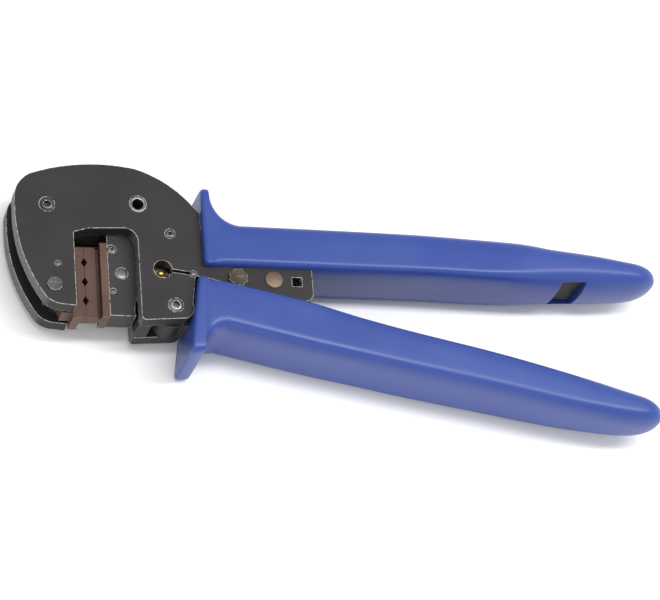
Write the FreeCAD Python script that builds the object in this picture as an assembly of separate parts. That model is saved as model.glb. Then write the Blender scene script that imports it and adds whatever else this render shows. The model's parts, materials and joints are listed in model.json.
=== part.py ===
"""Sliding-jaw ratchet crimping pliers with an exchangeable three-nest die set.

The tool lies flat: +X runs from the jaws to the handle ends, +Y points to the fixed handle's side
and +Z out of the front face.  Everything is drawn about the main pivot, mid-way between the two
cheek plates, with the handles closed, and is moved at the end so that the origin is the middle of
the bottom of the whole tool.  Millimetres and degrees.
"""
import FreeCAD
import Part
import math
import os

V = FreeCAD.Vector

# ---------------------------------------------------------------- driving dimensions
GAP = 9.0                         # clear width between the cheek plates
CHEEK = 5.0                       # thickness of a cheek plate
INNER = GAP / 2                   # z of a cheek's inner face
FACE = INNER + CHEEK              # z of a cheek's outer face
RUN = 0.06                        # radial running clearance of a pin in its bore
SIDE = 0.1                        # side clearance of a moving plate
HIGH = 60.0                       # long enough to cut through anything
TINY = 1e-3                       # smallest difference between two radii of a strap

OPENING = 28.0                    # handle angle from closed to fully open
TOGGLE = (-3.2, 11.3)             # toggle pin on the lever, handles closed
SLIDE_PIN = (-14.4, 11.6)         # pin of the moving jaw slide, handles closed
LEVER_ANGLE = -8.5                # direction of the moving handle, handles closed

WINDOW_LEFT = -29.2
WINDOW_RIGHT = -10.2
WINDOW_TOP = 23.9
SLIDE_BOTTOM = -1.8
PARTING = -25.0                   # plane where the two dies meet
DIE_GAP = 0.1
NEST_Y = (15.6, 9.5, 3.5)         # nest centres
NEST_HALF = (0.95, 1.55)          # half width and half height of a nest

PIVOT_R = 2.2
SLEEVE_R = 3.0
HUB_R = 5.0
ARM_R = 4.3                       # half width of the lever's arm at the toggle pin
LEVER_LENGTH = 68.0               # from the pivot to the centre of the tail's round end
TAIL_R = (3.9, 3.4)               # half width of the tail at the hub and at its end
TOGGLE_R = 2.3
SLIDE_PIN_R = 1.8
OPEN_PIVOT_SLOT = 0.5             # the slide pin's hole in the link is this much longer downwards
LEVER_IN = 2.1                    # inner and outer z of the lever's side plates
LEVER_OUT = INNER - SIDE
CORE = 2.0                        # half thickness of the link, the sector and the lever spacer

PAWL = (30.1, 9.2)
PAWL_PIN_R = 1.6
TOOTH_TIP_R = 26.6
TOOTH_DEPTH = 1.0
TOOTH_SPAN = (14.0, 50.0)         # polar angles of the toothed arc, handles closed
TEETH = 16
SECTOR_END = 63.0                 # polar angle where the sector stops
PAWL_TIP_R = 27.95

WHEEL = (19.2, 9.3)               # adjusting wheel
WHEEL_R = 2.9
WHEEL_HEIGHT = 0.9
WHEEL_NOTCHES = 8
NOTCH_R = 0.55
WHEEL_SHAFT_R = 1.3
CAM_R = 1.0
CAM_THROW = 0.25                  # the cam stands this far off the wheel's axis
SLOT_HALF = 1.9                   # half width of the sector's curved slot

ANCHOR = (5.8, 10.1)              # return spring's fixed pin
ANCHOR_R = 1.0
CHEEK_BOLT = (-36.7, 30.5)
LOCATOR = (-9.6, 31.9)
SPACER_SCREW = (-0.5, 22.7)
DIE_SCREW = (-35.4, 5.2)
DIE_DOWEL = (-34.2, 11.8)
MOVING_DIE_SCREW = (-17.1, 19.2)
MOVING_DIE_DOWEL = (-17.2, 6.0)
TANG_RIVETS = (50.0, 57.0)
SECTOR_RIVETS = (14.0, 36.0)      # distances from the pivot along the lever
LEVER_RIVETS = (54.0, 63.0)

# Fasteners: radii, key widths across the flats, and depths
SET_BACK = 0.1                    # a flush part stands this far below the cheek's face
CHEEK_BOLT_R = 2.25
CHEEK_BOLT_SHANK_R = 1.4
CHEEK_BOLT_HEAD = 2.1             # depth of the cheek bolt's head
LOCATOR_R = 2.5
LOCATOR_BORE_R = 1.65
SPACER_SCREW_R = 1.5
PIVOT_PROUD = 0.15                # the pivot bolt stands this far above the face
KEY_DEPTH = 1.4                   # depth of a key hole from the cheek's face
CHEEK_KEY = 2.0
SPACER_KEY = 1.3
PIVOT_KEY = 2.2
NUT_REACH = 3.9                   # from the nut's axis to a corner
NUT_HEIGHT = 1.8
THREAD_PROUD = 0.5
DIE_SCREW_R = 1.2
DIE_SCREW_HEAD_R = 2.15
DIE_SCREW_HEAD = 0.5
DIE_DOWEL_R = 0.95
DRIVER_SLOT = 0.3                 # half width of a screwdriver slot
SMALL_R = 0.8                     # moving die's screw shank and dowel
SMALL_HEAD_R = 1.3
SMALL_HEAD = 0.8
SMALL_KEY = 1.1
RIVET_R = 1.5
TANG_RIVET_R = 1.8
PAWL_HEAD_R = 2.7
PAWL_HEAD = 0.6
PAWL_RING_R = 2.8
PAWL_RING = 0.9
PAWL_POST = (40.0, 18.4)
PAWL_POST_R = 1.2
PAWL_TAIL = (34.6, 13.2)          # centre of the pawl's round tail
PAWL_SPRING = (35.7, 14.2)        # end of the pawl's spring at the tail
PAWL_SPRING_R = 0.9
PAWL_SPRING_LENGTH = 4.4
SPIGOT_R = 0.9                    # spigot on the toggle pin for the return spring
SPIGOT = 2.4
RETURN_SPRING_R = 1.05
RETURN_SPRING_Z = 1.4             # height of its axis above a cheek's inner face

# Openings of the front cheek plate
SQUARE_HOLE = ((35.7, 38.7), (7.4, 10.2))
TOGGLE_HOLE_R = 2.75
SPRING_SLIT = 0.45                # half width
SPRING_POCKET = 2.7               # depth from the inner face
SPRING_POCKET_START = (-3.0, 11.2)
SPRING_POCKET_R = (2.3, 1.8)      # half width at the toggle pin and at the anchor

# Dies
NOSE_BLOCK = -29.4                # right face of the nose block, where the fixed die sits
BAR_SPAN = (-1.9, 20.5)           # y of the nest bars
BAR_HALF = 2.2                    # half depth of the nest bars
NECK_HALF = 1.2                   # half depth of the moving die's waist
TAIL_HALF = 3.0                   # half depth of the fixed die's tail
SLIDE_FACE = -18.4                # left face of the slide, where the moving die sits

TANG_TOP = 24.4
TANG_BOTTOM = 14.4
TANG_EDGE = 42.0                  # right edge of the part of the tang that shows
TANG_END = 62.0
BAR = (46.0, 131.0, 16.0, 22.0)   # tang bar: x from, x to, y from, y to
BAR_FOOT = (122.0, 129.2, 13.9, 7.0)   # foot of the bar: x from, x to, lowest y, half depth
GUARD_HALF = 12.5                 # half depth of the finger guards
GUARD_ROUND = 2.5                 # corner radius of the finger guards
UPPER_GUARD = (8.9, 11.3, 37.3)   # front face, back face and tip
UPPER_GUARD_ROOT = 36.5           # where the fillet meets the upper guard
LOWER_GUARD_TIP = -15.2
LOWER_GUARD_ROOT = (6.9, -14.2)   # where the fillet meets the lower guard
GRIP_WINDOW = (121.6, 129.6, 8.2)  # window near the fixed grip's end: x from, x to, half depth

# Grip sections: x, lowest y, highest y, half depth, corner radius
UPPER_GRIP = [
    (22.0, 12.4, 26.8, 11.8, 5.0), (45.0, 12.3, 26.7, 11.8, 5.0), (75.0, 12.2, 26.5, 11.8, 5.0),
    (95.0, 11.7, 26.0, 11.7, 5.0), (118.0, 11.4, 24.5, 11.2, 4.8), (135.0, 11.8, 22.9, 10.5, 4.2),
    (146.0, 12.5, 21.3, 8.8, 3.2), (152.0, 13.6, 19.9, 6.4, 2.2), (154.8, 15.2, 18.4, 3.4, 1.2)]
LOWER_GRIP = [
    (15.0, -7.5, 7.2, 11.8, 5.2), (28.0, -10.8, 4.5, 11.8, 5.6), (41.0, -13.8, 1.8, 11.8, 6.0),
    (72.0, -20.6, -5.2, 11.8, 6.0), (98.0, -25.7, -11.0, 11.4, 6.0), (118.0, -29.5, -15.9, 10.6, 5.4),
    (130.0, -31.1, -18.9, 9.8, 4.8), (141.0, -32.1, -22.0, 8.6, 4.0), (148.0, -31.8, -24.3, 6.4, 2.8),
    (151.4, -30.0, -26.2, 3.4, 1.6)]
FLARE = (0.0, 0.06, 0.2, 0.45, 0.75, 1.0)   # places along a guard's fillet, as parts of its length
TANG_SLOPE = 0.2                  # the cheek plates' lower edge rises this much per mm towards the head


# ---------------------------------------------------------------- shape helpers
def outline(start, *steps):
    """Closed wire in the z = 0 plane: a step is a point for a line, or (via, end) for an arc."""
    edges = []
    here = V(*start, 0)
    for step in steps + (start,):
        if isinstance(step[0], tuple):
            end = V(*step[1], 0)
            edges.append(Part.Arc(here, V(*step[0], 0), end).toShape())
        else:
            end = V(*step, 0)
            if end.distanceToPoint(here) < 1e-6:
                continue
            edges.append(Part.LineSegment(here, end).toShape())
        here = end
    return Part.Wire(edges)


def slab(wire, low, high):
    """A plate with the given outline between two heights."""
    flat = Part.Face(wire)
    flat.translate(V(0, 0, low))
    return flat.extrude(V(0, 0, high - low))


def rod(place, radius, low, high):
    """A round bar along Z."""
    return Part.makeCylinder(radius, high - low, V(place[0], place[1], low))


def tube(place, outer, inner, low, high):
    """A round bar along Z with a bore."""
    return rod(place, outer, low, high).cut(rod(place, inner, low - 1, high + 1))


def block(x, y, z):
    """A box from three (low, high) pairs."""
    return Part.makeBox(x[1] - x[0], y[1] - y[0], z[1] - z[0], V(x[0], y[0], z[0]))


def strap(p, q, r_p, r_q, low, high):
    """A flat link: two round ends joined by their outer tangents."""
    length = math.hypot(q[0] - p[0], q[1] - p[1])
    along = math.atan2(q[1] - p[1], q[0] - p[0])
    lean = math.acos((r_p - r_q) / length)
    corners = [polar(p, r_p, along + lean), polar(q, r_q, along + lean),
               polar(q, r_q, along - lean), polar(p, r_p, along - lean)]
    body = slab(outline(*corners), low, high)
    return body.fuse([rod(p, r_p, low, high), rod(q, r_q, low, high)]).removeSplitter()


def polar(centre, radius, angle):
    """The point at a radius and an angle in radians from a centre."""
    return (centre[0] + radius * math.cos(angle), centre[1] + radius * math.sin(angle))


def on_lever(distance):
    """The point on the lever's centre line at a distance from the pivot."""
    return polar((0, 0), distance, math.radians(LEVER_ANGLE))


def pie(radius, first, last, low, high):
    """A round plate about the pivot, kept between two angles in degrees."""
    wedge = Part.makeCylinder(radius, high - low, V(0, 0, low), V(0, 0, 1), last - first)
    wedge.rotate(V(0, 0, 0), V(0, 0, 1), first)
    return wedge


def cut_all(shape, tools):
    """Cut with several tools, one after the other."""
    for tool in tools:
        shape = shape.cut(tool)
    return shape


def group(shapes):
    """Separate solids that share one node."""
    return shapes[0] if len(shapes) == 1 else Part.makeCompound(shapes)


def mirror_z(shape):
    """The same shape on the other side of the middle plane."""
    return shape.mirror(V(0, 0, 0), V(0, 0, 1))


def hex_socket(place, across, low, high):
    """A hexagonal key hole."""
    reach = across / math.sqrt(3)
    corners = [polar(place, reach, math.radians(60 * k)) for k in range(6)]
    return slab(outline(*corners), low, high)


def driver_slot(place, reach, low):
    """The cutter of a screwdriver slot across a round head, down to a height."""
    x, y = place
    return block((x - reach, x + reach), (y - DRIVER_SLOT, y + DRIVER_SLOT), (low, HIGH))


def rounded_section(x, y_low, y_high, half, radius):
    """Rounded rectangle in the plane at x, as a wire."""
    s = math.sqrt(0.5)

    def at(y, z):
        return V(x, y, z)

    edges = []
    corners = ((y_low, -half, 1, 1), (y_high, -half, -1, 1), (y_high, half, -1, -1), (y_low, half, 1, -1))
    arcs = []
    for y, z, sy, sz in corners:
        centre = (y + sy * radius, z + sz * radius)
        side = at(y, centre[1])
        end = at(centre[0], z)
        mid = at(centre[0] - sy * radius * s, centre[1] - sz * radius * s)
        arcs.append((side, mid, end) if sy == sz else (end, mid, side))
    for k, (start, mid, end) in enumerate(arcs):
        edges.append(Part.Arc(start, mid, end).toShape())
        edges.append(Part.LineSegment(end, arcs[(k + 1) % 4][0]).toShape())
    return Part.Wire(edges)


# ---------------------------------------------------------------- head
def head_outline():
    """Outline of a cheek plate: a D-shaped head, open below, that runs on into the handle's tang."""
    return outline((WINDOW_LEFT, -1.2), (-33.2, -0.9), ((-36.3, 0.0), (-38.2, 1.6)),
                   ((-44.4, 15.0), (-46.2, 31.0)), ((-45.0, 36.8), (-41.5, 40.2)),
                   ((-26.0, 43.9), (-10.0, 43.3)), ((-1.5, 39.4), (7.5, 31.2)), (8.9, 29.8),
                   (8.9, TANG_TOP), (TANG_END, TANG_TOP), (TANG_END, TANG_BOTTOM),
                   (TANG_EDGE, TANG_BOTTOM), (TANG_EDGE, 5.6), ((41.0, 3.3), (38.8, 2.8)),
                   (8.4, 9.25), (7.0, 9.45), ((6.35, 9.1), (6.25, 8.2)), (5.2, 0.6),
                   ((4.9, -2.6), (3.2, -4.0)),
                   (-8.8, -4.9), ((-9.8, -4.5), (WINDOW_RIGHT, -3.5)), (WINDOW_RIGHT, WINDOW_TOP - 4.0),
                   ((WINDOW_RIGHT - 1.17, WINDOW_TOP - 1.17), (WINDOW_RIGHT - 4.0, WINDOW_TOP)),
                   (-24.5, 23.4), (-28.4, 22.3), ((-29.0, 22.0), (WINDOW_LEFT, 21.4)))


def cheek_plates(pins):
    """Front and back cheek plates with their holes; the front one also holds the return spring."""
    front = cut_all(slab(head_outline(), INNER, FACE), pins)
    front = front.cut(rod(WHEEL, WHEEL_SHAFT_R + RUN, INNER, FACE))
    front = front.cut(block(*SQUARE_HOLE, (INNER, FACE)))
    front = front.cut(strap(SPRING_POCKET_START, ANCHOR, *SPRING_POCKET_R, INNER, INNER + SPRING_POCKET))
    front = front.cut(rod(TOGGLE, TOGGLE_HOLE_R, INNER, FACE))
    front = front.cut(strap(TOGGLE, ANCHOR, SPRING_SLIT, SPRING_SLIT, INNER, FACE))
    back = cut_all(slab(head_outline(), -FACE, -INNER), pins)
    back = back.cut(rod(WHEEL, CAM_R + RUN, -FACE, -INNER))
    return {"front_cheek_plate": front, "back_cheek_plate": back}


def jaw_block_blank():
    """The blocks that hold the cheeks apart, as one blank a little inside the head's outline."""
    return slab(outline((-31.4, 1.4), (-34.6, 2.4), ((-41.3, 14.6), (-43.4, 30.4)),
                        ((-42.4, 35.2), (-39.8, 37.7)), ((-25.8, 41.1), (-10.8, 40.6)),
                        ((-3.4, 37.1), (4.6, 29.9)), (4.6, WINDOW_TOP + 0.3),
                        (NOSE_BLOCK, WINDOW_TOP + 0.3), (NOSE_BLOCK, 1.4)), -INNER, INNER)


def head_blocks(pins, fixed_die_shape):
    """Fixed jaw block at the nose, top spacer above the slide, and the slide's lower guide."""
    blank = cut_all(jaw_block_blank(), pins)
    split = WINDOW_TOP + 0.3
    jaw = blank.common(block((-HIGH, NOSE_BLOCK), (-HIGH, split), (-INNER, INNER)))
    top = blank.common(block((-HIGH, HIGH), (split, HIGH), (-INNER, INNER)))
    guide = block((WINDOW_RIGHT, -6.2), (-4.7, SLIDE_BOTTOM - SIDE), (-INNER, INNER))
    return {"fixed_jaw_block": jaw.cut(fixed_die_shape), "top_spacer_block": top,
            "lower_slide_guide": guide}


def head_fasteners():
    """Bolts, sleeves, screws and pins that hold the head together."""
    top = FACE - SET_BACK
    seat = top - CHEEK_BOLT_HEAD
    key = FACE - KEY_DEPTH
    bolt = rod(CHEEK_BOLT, CHEEK_BOLT_R, seat, top).fuse(rod(CHEEK_BOLT, CHEEK_BOLT_SHANK_R, -CORE, seat))
    bolt = bolt.cut(hex_socket(CHEEK_BOLT, CHEEK_KEY, key, FACE))
    barrel = rod(CHEEK_BOLT, CHEEK_BOLT_R, -top, seat).cut(rod(CHEEK_BOLT, CHEEK_BOLT_SHANK_R, -CORE, FACE))
    locator = tube(LOCATOR, LOCATOR_R, LOCATOR_BORE_R, -top, top)
    spacer_screw = rod(SPACER_SCREW, SPACER_SCREW_R, -top, top)
    spacer_screw = spacer_screw.cut(hex_socket(SPACER_SCREW, SPACER_KEY, key, FACE))
    pivot = rod((0, 0), PIVOT_R, -FACE, FACE + PIVOT_PROUD)
    pivot = pivot.cut(hex_socket((0, 0), PIVOT_KEY, key, HIGH))
    corners = [polar((0, 0), NUT_REACH, math.radians(60 * k)) for k in range(6)]
    nut = slab(outline(*corners), -FACE - NUT_HEIGHT, -FACE)
    nut = nut.fuse(rod((0, 0), PIVOT_R, -FACE - NUT_HEIGHT - THREAD_PROUD, -FACE))
    sleeve = tube((0, 0), SLEEVE_R, PIVOT_R, -INNER, INNER)
    die_screw = rod(DIE_SCREW, DIE_SCREW_R, -INNER - TAIL_HALF, FACE)
    die_screw = die_screw.fuse(rod(DIE_SCREW, DIE_SCREW_HEAD_R, FACE, FACE + DIE_SCREW_HEAD))
    die_screw = die_screw.cut(driver_slot(DIE_SCREW, DIE_SCREW_HEAD_R, FACE + SET_BACK))
    anchor = rod(ANCHOR, ANCHOR_R, INNER + SET_BACK, FACE + DRIVER_SLOT)
    return {"cheek_bolt": bolt, "cheek_barrel_nut": barrel, "locator_bush": locator,
            "spacer_screw": spacer_screw, "main_pivot_bolt": pivot, "main_pivot_nut": nut,
            "main_pivot_sleeve": sleeve, "fixed_die_screw": die_screw,
            "fixed_die_dowel": rod(DIE_DOWEL, DIE_DOWEL_R, -INNER, top), "spring_anchor_pin": anchor}


# ---------------------------------------------------------------- dies and slide
def nest_cuts():
    """The three lozenge nests, half in each die."""
    cuts = []
    wide, tall = NEST_HALF
    for y in NEST_Y:
        cuts.append(slab(outline((PARTING - wide, y), (PARTING, y + tall), (PARTING + wide, y),
                                 (PARTING, y - tall)), -INNER, INNER))
    return cuts


def fixed_die():
    """Fixed die: a nest bar on a wider strip, with a tail that is screwed into the jaw block."""
    strip_left = PARTING - 2.0
    bar = block((strip_left, PARTING - DIE_GAP / 2), BAR_SPAN, (-BAR_HALF, BAR_HALF))
    strip = block((NOSE_BLOCK, strip_left), (-3.0, 19.4), (-LEVER_OUT, LEVER_OUT))
    tail_left = -36.9
    tail_low = -0.9
    tail = block((tail_left, NOSE_BLOCK), (tail_low, 14.0), (-TAIL_HALF, TAIL_HALF))
    corner = rod((tail_left, tail_low), 4.6, -TAIL_HALF, TAIL_HALF)
    die = bar.fuse([strip, tail.cut(corner)])
    die = cut_all(die, nest_cuts())
    return cut_all(die, [rod(DIE_SCREW, DIE_SCREW_R, -HIGH, HIGH), rod(DIE_DOWEL, DIE_DOWEL_R, -HIGH, HIGH)])


def moving_die():
    """Moving die: nest bar, a waisted neck, a strip, and two tenons that sit in the slide."""
    neck_left = PARTING + 3.4
    strip_left = neck_left + 1.0
    bar = block((PARTING + DIE_GAP / 2, neck_left), BAR_SPAN, (-BAR_HALF, BAR_HALF))
    neck = block((neck_left, strip_left), BAR_SPAN, (-NECK_HALF, NECK_HALF))
    strip = block((strip_left, SLIDE_FACE), (-2.2, 21.2), (-LEVER_OUT, LEVER_OUT))
    tenons = [block((SLIDE_FACE, SLIDE_FACE + 2.7), (17.2, 21.2), (-CORE, CORE)),
              block((SLIDE_FACE, SLIDE_FACE + 2.5), (4.4, 7.3), (-CORE, CORE))]
    die = cut_all(bar.fuse([neck, strip] + tenons), nest_cuts())
    return cut_all(die, [rod(p, SMALL_R, -HIGH, HIGH) for p in (MOVING_DIE_SCREW, MOVING_DIE_DOWEL)])


def jaw_slide(die):
    """Moving jaw slide: a flat block, forked for the toggle link and relieved for the lever's hub."""
    travel = slide_travel()
    relief = HUB_R + 0.4
    body = block((SLIDE_FACE, -9.0), (SLIDE_BOTTOM, WINDOW_TOP + SIDE), (-LEVER_OUT, LEVER_OUT))
    hub = strap((0, 0), (-travel, 0), relief, relief - TINY, -HIGH, HIGH)
    arm = strap((-travel, 0), TOGGLE, relief, ARM_R + 0.4, -HIGH, HIGH)
    reach = SLIDE_PIN_R + 2.7
    fork = rod(SLIDE_PIN, reach, -LEVER_IN, LEVER_IN)
    fork = fork.fuse(block((SLIDE_PIN[0], 0), (SLIDE_PIN[1] - reach, SLIDE_PIN[1] + reach),
                           (-LEVER_IN, LEVER_IN)))
    body = cut_all(body, [hub, arm, fork, rod(SLIDE_PIN, SLIDE_PIN_R, -HIGH, HIGH)])
    return cut_all(body, [die, rod(MOVING_DIE_SCREW, SMALL_R, -HIGH, HIGH),
                          rod(MOVING_DIE_SCREW, SMALL_HEAD_R, LEVER_OUT - SMALL_HEAD, HIGH),
                          rod(MOVING_DIE_DOWEL, SMALL_R, -HIGH, HIGH)])


def slide_travel():
    """How far the toggle pin, and so the slide, moves along X when the handles open."""
    radius = math.hypot(*TOGGLE)
    start = math.atan2(TOGGLE[1], TOGGLE[0])
    return radius * (math.cos(start - math.radians(OPENING)) - math.cos(start))


def slide_assembly():
    """Everything that moves with the jaw slide."""
    die = moving_die()
    seat = LEVER_OUT - SMALL_HEAD
    screw = rod(MOVING_DIE_SCREW, SMALL_R, -LEVER_OUT, seat)
    screw = screw.fuse(rod(MOVING_DIE_SCREW, SMALL_HEAD_R, seat, LEVER_OUT - RUN))
    screw = screw.cut(hex_socket(MOVING_DIE_SCREW, SMALL_KEY, seat + SIDE, LEVER_OUT))
    return {"moving_jaw_slide": jaw_slide(die), "moving_die": die, "moving_die_screw": screw,
            "moving_die_dowel": rod(MOVING_DIE_DOWEL, SMALL_R, -LEVER_OUT, LEVER_OUT - SIDE),
            "slide_pin": rod(SLIDE_PIN, SLIDE_PIN_R, -LEVER_OUT, LEVER_OUT)}


# ---------------------------------------------------------------- lever, link and ratchet
def toggle_link():
    """Link from the lever's toggle pin to the slide pin; the slide end is a short slot."""
    link = strap(TOGGLE, SLIDE_PIN, TOGGLE_R + 1.7, SLIDE_PIN_R + 2.0, -CORE, CORE)
    link = link.cut(rod(TOGGLE, TOGGLE_R + RUN, -HIGH, HIGH))
    low = (SLIDE_PIN[0], SLIDE_PIN[1] - OPEN_PIVOT_SLOT)
    hole = SLIDE_PIN_R + RUN
    return link.cut(strap(SLIDE_PIN, low, hole, hole - TINY, -HIGH, HIGH))


def lever_plate():
    """One side plate of the moving lever: hub, toggle arm and a tail that fills the grip."""
    plate = strap((0, 0), TOGGLE, HUB_R, ARM_R, LEVER_IN, LEVER_OUT)
    plate = plate.fuse(strap((0, 0), on_lever(LEVER_LENGTH), *TAIL_R, LEVER_IN, LEVER_OUT))
    plate = plate.cut(rod((0, 0), SLEEVE_R + RUN, -HIGH, HIGH))
    holes = [rod(on_lever(d), RIVET_R, -HIGH, HIGH) for d in SECTOR_RIVETS + LEVER_RIVETS]
    return cut_all(plate, holes + [rod(TOGGLE, TOGGLE_R, -HIGH, HIGH)])


def ratchet_sector():
    """Toothed sector between the lever plates, with a curved slot for the adjusting cam."""
    root = TOOTH_TIP_R - TOOTH_DEPTH
    fan = pie(root, LEVER_ANGLE, SECTOR_END, -CORE, CORE)
    pitch = (TOOTH_SPAN[1] - TOOTH_SPAN[0]) / TEETH
    rim = []
    for k in range(TEETH + 1):
        start = math.radians(TOOTH_SPAN[0] + k * pitch)
        rim.append(polar((0, 0), root, start))
        if k < TEETH:
            rim.append(polar((0, 0), TOOTH_TIP_R, start + math.radians(0.25 * pitch)))
            rim.append(polar((0, 0), TOOTH_TIP_R, start + math.radians(0.5 * pitch)))
    inside = root - 1.5
    rim.append(polar((0, 0), inside, math.radians(TOOTH_SPAN[1])))
    rim.append(polar((0, 0), inside, math.radians(TOOTH_SPAN[0])))
    teeth = slab(outline(*rim), -CORE, CORE)
    foot = strap((0, 0), on_lever(40), *TAIL_R, -CORE, CORE)
    sector = fan.fuse([teeth, foot])
    radius = math.hypot(*WHEEL)
    spare = 0.8
    first = math.degrees(math.atan2(WHEEL[1], WHEEL[0])) - spare
    last = first + OPENING + 2 * spare
    slot = pie(radius + SLOT_HALF, first, last, -HIGH, HIGH).cut(rod((0, 0), radius - SLOT_HALF, -HIGH, HIGH))
    ends = [rod(polar((0, 0), radius, math.radians(a)), SLOT_HALF, -HIGH, HIGH) for a in (first, last)]
    holes = [rod(on_lever(d), RIVET_R, -HIGH, HIGH) for d in SECTOR_RIVETS]
    relief = pie(16.0, 38.0, 100.0, -HIGH, HIGH)
    sector = cut_all(sector, [slot, relief] + ends + holes)
    sector = sector.fuse(rod((0, 0), HUB_R, -CORE, CORE))
    return sector.cut(rod((0, 0), SLEEVE_R + RUN, -HIGH, HIGH)).removeSplitter()


def lever_assembly():
    """Lever plates, sector, spacer, rivets and toggle pin."""
    front = lever_plate()
    spacer = strap(on_lever(49), on_lever(LEVER_LENGTH - 1), TAIL_R[1], TAIL_R[1] - SIDE, -LEVER_IN, LEVER_IN)
    spacer = cut_all(spacer, [rod(on_lever(d), RIVET_R, -HIGH, HIGH) for d in LEVER_RIVETS])
    sector_rivets = [rod(on_lever(d), RIVET_R, -LEVER_OUT, LEVER_OUT) for d in SECTOR_RIVETS]
    lever_rivets = [rod(on_lever(d), RIVET_R, -LEVER_OUT, LEVER_OUT) for d in LEVER_RIVETS]
    pin = rod(TOGGLE, TOGGLE_R, -LEVER_OUT, LEVER_OUT).fuse(rod(TOGGLE, SPIGOT_R, 0, INNER + SPIGOT))
    return {"front_lever_plate": front, "back_lever_plate": mirror_z(front),
            "ratchet_sector": ratchet_sector(), "lever_spacer": spacer,
            "sector_rivets": group(sector_rivets), "lever_rivets": group(lever_rivets),
            "toggle_pin": pin}


def pawl_assembly():
    """Pawl, its brass pin and ring, the spring that centres it, and the spring's post."""
    tip = polar((0, 0), PAWL_TIP_R, math.atan2(PAWL[1], PAWL[0]))
    half = CORE - SIDE
    pawl = strap(PAWL, tip, 2.7, 0.9, -half, half)
    pawl = pawl.fuse(strap(PAWL, PAWL_TAIL, 1.8, 1.1, -half, half))
    pawl = pawl.cut(rod(PAWL, PAWL_PIN_R + RUN, -HIGH, HIGH)).removeSplitter()
    pin = rod(PAWL, PAWL_PIN_R, -FACE - PAWL_RING - DRIVER_SLOT, FACE)
    pin = pin.fuse(rod(PAWL, PAWL_HEAD_R, FACE, FACE + PAWL_HEAD))
    ring = tube(PAWL, PAWL_RING_R, PAWL_PIN_R, -FACE - PAWL_RING, -FACE)
    start = V(*PAWL_SPRING, 0)
    spring = Part.makeCylinder(PAWL_SPRING_R, PAWL_SPRING_LENGTH, start, V(*PAWL_POST, 0) - start)
    return {"pawl": pawl, "pawl_pin": pin, "pawl_pin_ring": ring, "pawl_spring": spring,
            "pawl_spring_post": rod(PAWL_POST, PAWL_POST_R, -INNER, INNER)}


def adjusting_wheel():
    """Star wheel on the front tang with an eccentric shaft that stops the sector."""
    head = rod(WHEEL, WHEEL_R, FACE, FACE + WHEEL_HEIGHT)
    for k in range(WHEEL_NOTCHES):
        place = polar(WHEEL, WHEEL_R + 0.15, math.radians(360 * k / WHEEL_NOTCHES))
        head = head.cut(rod(place, NOTCH_R, FACE, HIGH))
    head = head.cut(driver_slot(WHEEL, WHEEL_R / 2, FACE + WHEEL_HEIGHT / 2))
    cam = rod((WHEEL[0] + CAM_THROW, WHEEL[1]), CAM_R, -INNER + SIDE, INNER)
    return head.fuse([rod(WHEEL, WHEEL_SHAFT_R, INNER, FACE), cam,
                      rod(WHEEL, CAM_R, -FACE, -INNER + SIDE)])


def return_spring():
    """Small draw spring from the toggle pin's spigot to the anchor pin, as a plain closed tube."""
    height = INNER + RETURN_SPRING_Z
    start = V(TOGGLE[0] + 1.2, TOGGLE[1] - 0.2, height)
    along = V(ANCHOR[0] - 1.3, ANCHOR[1] + 0.2, height) - start
    return Part.makeCylinder(RETURN_SPRING_R, along.Length, start, along)


# ---------------------------------------------------------------- handles
def tang():
    """Steel bar that carries the fixed grip on from the cheek plates' tangs, and its rivets."""
    x0, x1, y0, y1 = BAR
    foot_from, foot_to, foot_low, foot_half = BAR_FOOT
    foot = block((foot_from, foot_to), (foot_low, y0), (-foot_half, foot_half))
    bar = block((x0, x1), (y0, y1), (-INNER, INNER)).fuse(foot).removeSplitter()
    places = [(x, (y0 + y1) / 2) for x in TANG_RIVETS]
    rivets = [rod(p, TANG_RIVET_R, -FACE, FACE) for p in places]
    return {"tang_bar": cut_all(bar, rivets), "tang_rivets": group(rivets)}


def grip_body(stations):
    """Smooth solid through the grip's sections."""
    return Part.makeLoft([rounded_section(*s) for s in stations], True, False)


def flared(station, x_guard, y_guard, upper):
    """Fillet between a guard and the first grip section: a quarter ellipse, as ruled steps."""
    x, y_low, y_high, half, radius = station
    sections = []
    for t in FLARE:
        rise = 1 - math.sqrt(1 - (1 - t) ** 2)
        low = y_low if upper else y_low + (y_guard - y_low) * rise
        high = y_high + (y_guard - y_high) * rise if upper else y_high
        if not upper:
            high += (x - x_guard) * (1 - t) * TANG_SLOPE
        depth = half + (GUARD_HALF - half) * rise
        corner = GUARD_ROUND + (radius - GUARD_ROUND) * t
        sections.append(rounded_section(x_guard + (x - x_guard) * t, low, high, depth, corner))
    return Part.makeLoft(sections, True, True)


def upper_grip():
    """Fixed grip: finger guard, fillet, long rounded body, pocket for the tang and end window."""
    front, back, tip = UPPER_GUARD
    guard = Part.Face(rounded_section(front, UPPER_GRIP[0][1], tip, GUARD_HALF, GUARD_ROUND))
    guard = guard.extrude(V(back - front, 0, 0))
    grip = grip_body(UPPER_GRIP).fuse([flared(UPPER_GRIP[0], back, UPPER_GUARD_ROOT, True), guard])
    x0, x1, y0, y1 = BAR
    cuts = [block((0, TANG_EDGE), (0, TANG_TOP), (-FACE, FACE)),
            block((0, TANG_END), (TANG_BOTTOM, TANG_TOP), (-FACE, FACE)),
            block((x0, x1), (y0, y1), (-INNER, INNER)),
            block(GRIP_WINDOW[:2], (0, y0), (-GRIP_WINDOW[2], GRIP_WINDOW[2]))]
    return cut_all(grip, cuts)


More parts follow.
